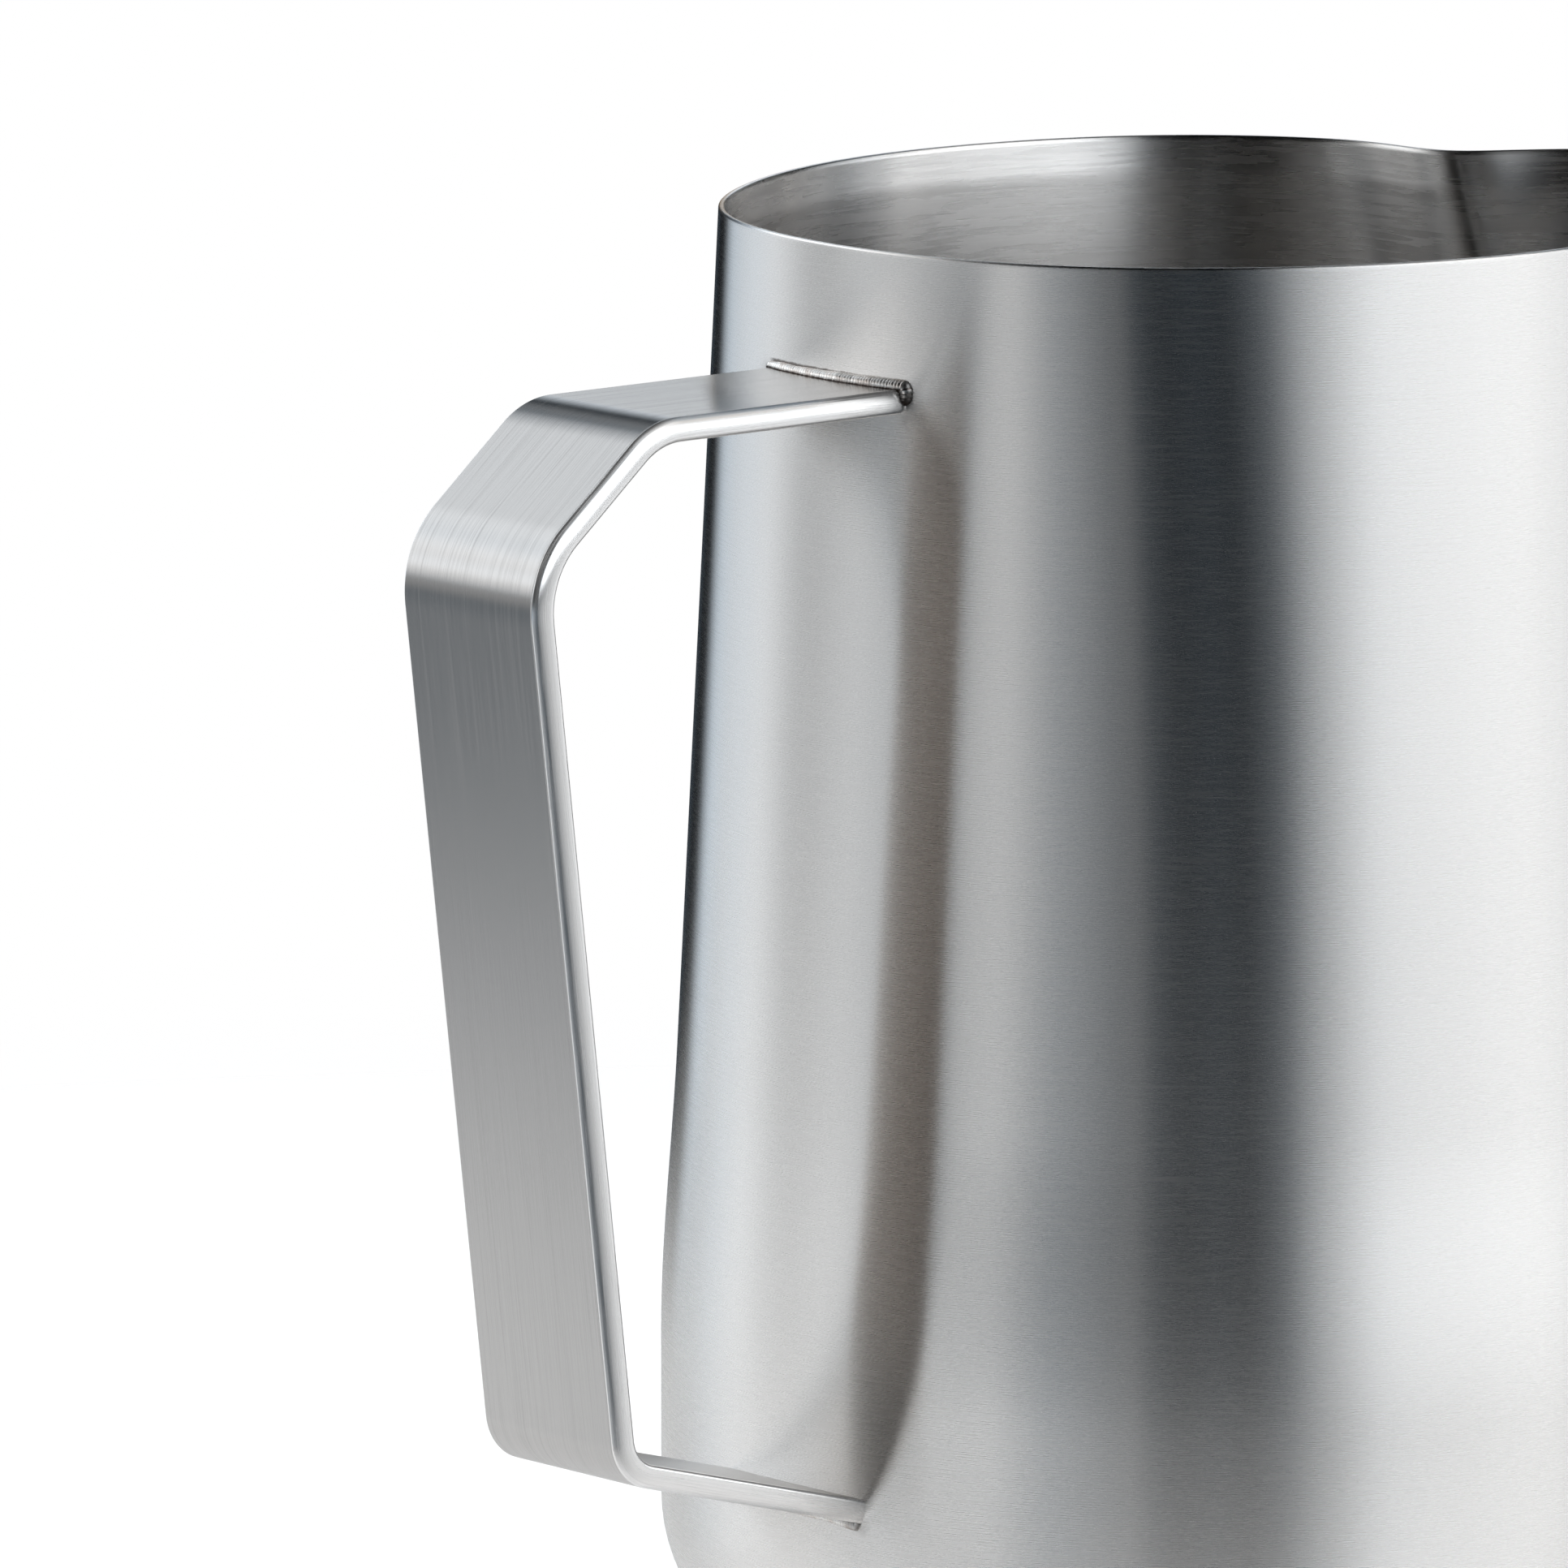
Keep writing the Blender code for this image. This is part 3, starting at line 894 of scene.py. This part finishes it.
# Light round the set, in rings from low to high: the ring's height above the horizon in degrees, and then the
# (compass angle, level, warmth) of places along it. The angle is in degrees from the camera's side, with the
# set's right as positive, and warmth is the share that red gains and blue loses.
# This table wasn't written by hand. A separate least-squares program fitted it to the photo's pixel values,
# and 108 of its 121 places are as that program printed them. The other 13, in rings -8, 1 and 7, were changed
# or added by hand. report.md says more, under "Rules not met".
RINGS = (
    (-35, (
        (-180, 0.73, -0.10), (-150, 0.97, -0.06), (-120, 0.00, -0.06), (-85, 0.25, -0.19),
        (-50, 2.23, 0.02), (-20, 0.00, 0.02), (50, 0.00, 0.02), (90, 0.06, 0.30), (135, 0.35, -0.09),
        (180, 0.73, -0.10),
    )),
    (-8, (
        (-180, 0.00, -0.30), (-172, 0.06, -0.30), (-164, 0.00, -0.30), (-156, 0.00, -0.30),
        (-148, 1.08, -0.13), (-136, 0.94, -0.03), (-122, 0.65, -0.03), (-108, 0.05, -0.10),
        (-90, 0.20, -0.15), (-60, 0.50, -0.10), (-46, 0.55, -0.14), (-34, 0.31, -0.30), (-16, 0.47, -0.07),
        (-12, 0.18, -0.19), (-6, 0.08, -0.24), (2, 0.11, -0.25), (9, 0.05, -0.30), (16, 0.09, -0.30),
        (28, 0.01, -0.30), (36, 0.37, -0.06), (46, 0.51, -0.02), (60, 0.56, -0.02), (98, 1.30, -0.02),
        (164, 0.00, 0.03), (180, 0.00, -0.30),
    )),
    (1, (
        (-180, 0.26, 0.30), (-170, 0.00, 0.30), (-146, 0.00, 0.30), (-130, 0.87, -0.19),
        (-116, 0.85, -0.08), (-100, 0.20, 0.05), (-85, 0.48, 0.00), (-65, 0.30, 0.02), (-40, 0.00, 0.02),
        (65, 0.00, 0.02), (90, 0.18, 0.02), (120, 0.00, 0.02), (165, 0.00, 0.02), (180, 0.26, 0.30),
    )),
    (7, (
        (-180, 0.32, 0.23), (-172, 0.07, 0.30), (-164, 0.00, 0.30), (-148, 0.00, 0.30), (-136, 0.24, -0.15),
        (-120, 1.49, 0.00), (-105, 1.09, -0.00), (-90, 0.98, -0.02), (-75, 0.60, -0.10), (-60, 0.35, -0.10),
        (-40, 0.00, -0.16), (9, 0.00, -0.16), (16, 0.47, -0.07), (22, 2.11, -0.06), (28, 3.05, -0.05),
        (76, 4.44, -0.03), (98, 2.79, -0.06), (122, 0.00, -0.06), (164, 0.00, -0.06), (180, 0.32, 0.23),
    )),
    (15, (
        (-180, 1.64, -0.08), (-172, 0.24, -0.30), (-164, 0.03, -0.30), (-156, 0.00, -0.30),
        (-150, 0.09, -0.30), (-144, 0.24, -0.30), (-136, 0.56, -0.19), (-124, 1.33, -0.07),
        (-108, 1.32, -0.06), (-90, 1.96, -0.04), (-65, 0.88, -0.02), (-40, 0.00, -0.02), (0, 0.00, -0.16),
        (20, 0.13, -0.16), (40, 2.21, -0.04), (65, 2.24, -0.05), (90, 1.00, -0.06), (120, 0.00, -0.06),
        (150, 0.00, -0.06), (180, 1.64, -0.08),
    )),
    (27, (
        (-180, 0.95, -0.11), (-172, 0.00, -0.19), (-156, 0.77, -0.12), (-136, 2.11, -0.06),
        (-124, 2.40, -0.06), (-108, 1.73, -0.06), (-90, 1.61, 0.03), (-65, 0.03, 0.03), (20, 0.00, -0.04),
        (40, 1.62, -0.04), (65, 1.55, -0.01), (90, 0.41, 0.12), (120, 0.00, 0.12), (150, 0.00, 0.12),
        (180, 0.95, -0.11),
    )),
    (42, (
        (-180, 0.00, -0.04), (-172, 0.00, -0.04), (-164, 0.22, -0.04), (-156, 0.19, -0.13),
        (-150, 0.71, -0.06), (-136, 1.34, -0.04), (-124, 1.56, -0.04), (-90, 0.00, 0.08), (20, 0.00, -0.05),
        (40, 0.99, -0.05), (65, 1.13, -0.00), (90, 0.86, 0.01), (120, 0.21, -0.30), (150, 0.00, -0.30),
        (180, 0.00, -0.04),
    )),
    (70, (
        (-180, 0.00, -0.04), (180, 0.00, -0.04),
    )),
)


def make_camera():
    """A long lens from the handle's side, a little above the rim."""
    a, e = VIEW_AZIMUTH, VIEW_ELEVATION
    back = Vector((math.sin(a) * math.cos(e), -math.cos(a) * math.cos(e), math.sin(e)))
    right = Vector((math.cos(a), math.sin(a), 0))
    up = Vector((-math.sin(a) * math.sin(e), math.cos(a) * math.sin(e), math.cos(e)))
    target = right * VIEW_RIGHT + up * VIEW_UP + Vector((0, 0, VIEW_HEIGHT))
    data = bpy.data.cameras.new("camera")
    data.lens = LENS
    data.sensor_width = SENSOR
    data.clip_start = 0.05
    data.clip_end = 20
    camera = bpy.data.objects.new("camera", data)
    camera.rotation_mode = "QUATERNION"
    camera.location = target + back * VIEW_DISTANCE
    camera.rotation_quaternion = (-back).to_track_quat("-Z", "Y")
    bpy.context.scene.collection.objects.link(camera)
    bpy.context.scene.camera = camera


def make_world():
    """The studio's light from the rings' levels, on a background that the camera sees as white."""
    world = bpy.data.worlds.new("studio")
    world.use_nodes = True
    bpy.context.scene.world = world
    tree = world.node_tree
    tree.nodes.clear()
    way = node(tree, "ShaderNodeTexCoord").outputs["Generated"]
    x, y, z = node(tree, "ShaderNodeSeparateXYZ", {0: way}).outputs
    height = calc(tree, "MULTIPLY", calc(tree, "ARCSINE", z), 180 / math.pi)
    compass = calc(tree, "MULTIPLY", calc(tree, "ARCTAN2", y, x), 180 / math.pi)
    camera_side = math.degrees(VIEW_AZIMUTH) - 90
    turned = calc(tree, "SUBTRACT", compass, camera_side)
    wrapped = calc(tree, "WRAP", turned, 180.0, -180.0)
    place = mapped(tree, wrapped, -180.0, 180.0, 0.0, 1.0)

    light = None
    lower = None
    for ring, levels in RINGS:
        ramp = node(tree, "ShaderNodeValToRGB", {"Fac": place})
        stops = ramp.color_ramp.elements
        for index, (angle, level, warmth) in enumerate(levels):
            position = (angle + 180) / 360
            # A new ramp has two stops already.
            stop = stops[index] if index < 2 else stops.new(position)
            stop.position = position
            share = level / BRIGHTEST
            stop.color = (share * (1 + warmth), share, share * (1 - warmth), 1)
        if light is None:
            light = ramp.outputs["Color"]
        else:
            share = mapped(tree, height, float(lower), float(ring), 0.0, 1.0, kind="SMOOTHSTEP")
            light = blend(tree, share, light, ramp.outputs["Color"])
        lower = ring

    seen = node(tree, "ShaderNodeLightPath").outputs["Is Camera Ray"]
    strength = node(tree, "ShaderNodeMix", {0: seen, 2: BRIGHTEST, 3: 1.0}, data_type="FLOAT").outputs[0]
    colour = blend(tree, seen, light, (1, 1, 1, 1))
    background = node(tree, "ShaderNodeBackground", {"Color": colour, "Strength": strength})
    node(tree, "ShaderNodeOutputWorld", {"Surface": background.outputs["Background"]})


def make_floor():
    """A pale oval of floor that fades out all round, and the lamps over it, which no reflection shows."""
    rings = np.linspace(0, 1, 41)[1:]
    angles = np.linspace(0, 2 * math.pi, 96, endpoint=False)
    across = FLOOR_WIDTH / 2 * rings[:, None] * np.cos(angles)
    along = FLOOR_DEPTH / 2 * rings[:, None] * np.sin(angles)
    points = np.stack([across, along, 0 * across], axis=-1)
    floor = grid_object("studio_floor", points, points, points, around=True, ends=((0, 0, 0), None))
    away = Vector((-math.sin(VIEW_AZIMUTH), math.cos(VIEW_AZIMUTH), 0))
    side = Vector((math.cos(VIEW_AZIMUTH), math.sin(VIEW_AZIMUTH), 0))
    floor.location = away * FLOOR_SETBACK - Vector((0, 0, FLOOR_GAP))
    floor.rotation_euler = (0, 0, VIEW_AZIMUTH)

    made, tree, shader = new_material("floor_paint")
    shade = calc(tree, "MULTIPLY_ADD", clouds(tree, 0.02), 0.02, 0.84)
    colour = node(tree, "ShaderNodeCombineColor", {0: shade, 1: shade, 2: shade}).outputs[0]
    tree.links.new(colour, shader.inputs["Base Color"])
    shader.inputs["Roughness"].default_value = 0.8
    shader.inputs["Specular IOR Level"].default_value = 0.0
    place = node(tree, "ShaderNodeTexCoord").outputs["Object"]
    shrink = (2 / FLOOR_WIDTH, 2 / FLOOR_DEPTH, 0)
    oval = node(tree, "ShaderNodeVectorMath", {0: place, 1: shrink}, operation="MULTIPLY").outputs["Vector"]
    reach = node(tree, "ShaderNodeVectorMath", {0: oval}, operation="LENGTH").outputs["Value"]
    solid = mapped(tree, reach, FLOOR_FADE, 1.0, 1.0, 0.0, kind="SMOOTHSTEP")
    tree.links.new(solid, shader.inputs["Alpha"])
    seen = node(tree, "ShaderNodeLightPath").outputs["Is Camera Ray"]
    shader.inputs["Emission Color"].default_value = (1, 1, 1, 1)
    tree.links.new(calc(tree, "MULTIPLY", seen, FLOOR_LIFT), shader.inputs["Emission Strength"])
    floor.data.materials.append(made)

    for index, (sideways, back, power) in enumerate(LAMPS):
        data = bpy.data.lights.new("floor_lamp_%d" % index, "AREA")
        data.shape = "DISK"
        data.size = LAMP_SIZE
        data.energy = power
        lamp = bpy.data.objects.new("floor_lamp_%d" % index, data)
        lamp.location = side * sideways + away * back + Vector((0, 0, LAMP_HEIGHT))
        lamp.visible_glossy = False
        lamp.visible_camera = False
        bpy.context.scene.collection.objects.link(lamp)


make_camera()
make_world()
make_floor()
make_pieces()
bpy.context.scene.view_settings.view_transform = "Standard"
